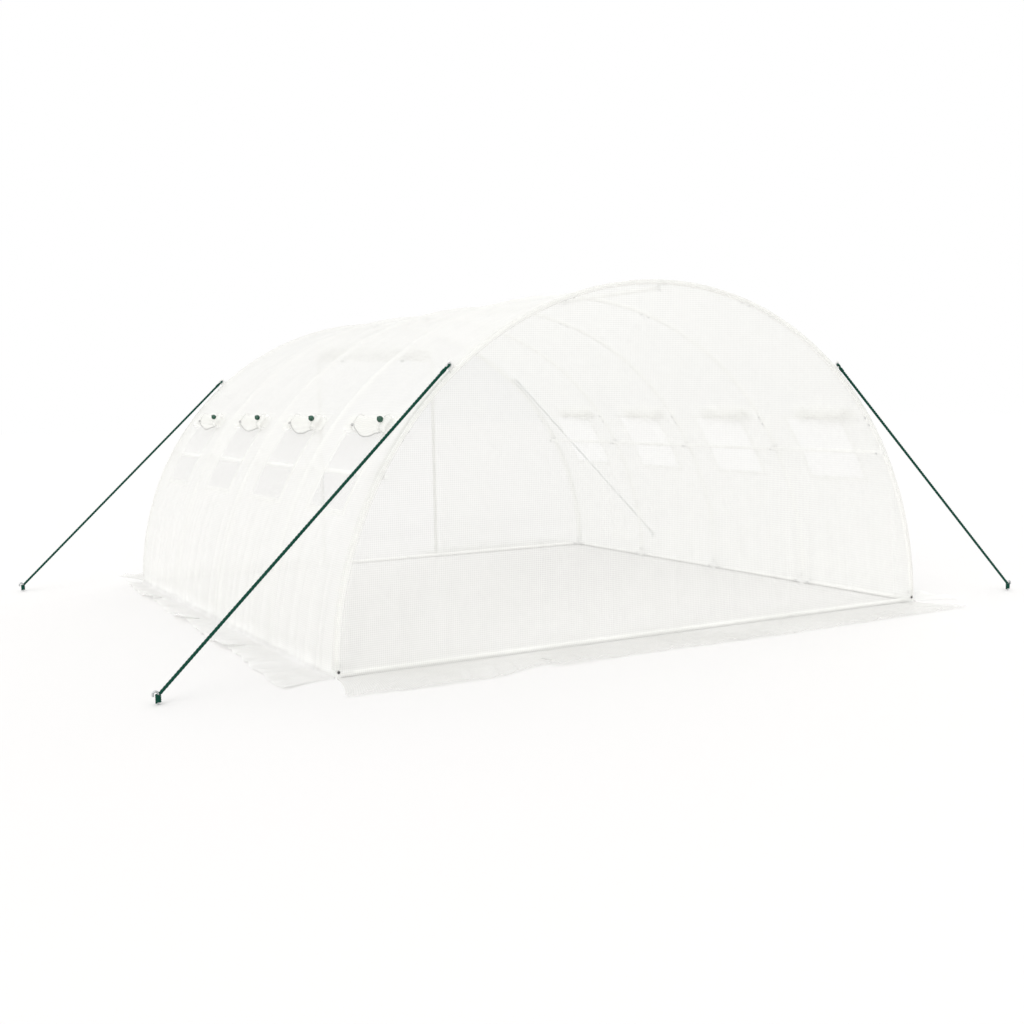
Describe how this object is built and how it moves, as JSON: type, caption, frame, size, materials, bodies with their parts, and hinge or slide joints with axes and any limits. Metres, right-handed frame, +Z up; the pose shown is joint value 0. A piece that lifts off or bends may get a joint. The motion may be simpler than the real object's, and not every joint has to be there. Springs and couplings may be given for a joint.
{
  "type": "polytunnel greenhouse",
  "caption": "Half-round polytunnel with tube hoops under a white film cover, rolled-up side windows, an open end doorway, ground skirts and guy ropes.",
  "frame": {"origin": "on the ground, in the middle of the tunnel's width and length", "axes": "+X across the tunnel to its right side, +Y along it to the doorway end, +Z up"},
  "size_m": [5.798, 4.8066, 2.0033],
  "materials": {
    "tube": "white coating, satin",
    "fitting": "pale grey, moulded",
    "film": "white see-through film, satin",
    "mesh": "fine white mesh",
    "rolled_film": "white film in many layers, satin",
    "tie": "dark green",
    "rope": "dark green braid",
    "peg": "zinc coated"
  },
  "bodies": {
    "root": {"front_hoop": "tube", "second_hoop": "tube", "middle_hoop": "tube", "fourth_hoop": "tube", "rear_hoop": "tube", "ridge_rail": "tube", "left_side_rail": "tube", "right_side_rail": "tube", "front_base_rail": "tube", "rear_base_rail": "tube", "left_base_rails": "tube", "right_base_rails": "tube", "corner_feet": "fitting", "hoop_feet": "fitting", "ridge_clamps": "fitting", "left_rail_clamps": "fitting", "right_rail_clamps": "fitting", "roof_cover": "film", "left_shoulder_cover": "film", "right_shoulder_cover": "film", "left_window_band": "film", "right_window_band": "film", "left_wall_cover": "film", "right_wall_cover": "film", "left_window_screens": "mesh", "right_window_screens": "mesh", "left_window_rolls": "rolled_film", "right_window_rolls": "rolled_film", "left_ball_ties": "tie", "right_ball_ties": "tie", "front_end_panel": "film", "rear_panel_left": "film", "rear_panel_right": "film", "rear_panel_top": "film", "door_edge_tapes": "rolled_film", "door_roll": "rolled_film", "door_ball_ties": "tie", "front_skirt": "film", "rear_skirts": "film", "left_skirt": "film", "right_skirt": "film", "rope_tabs": "rolled_film", "left_guy_ropes": "rope", "right_guy_ropes": "rope", "ground_pegs": "peg"}
  },
  "joints": []
}
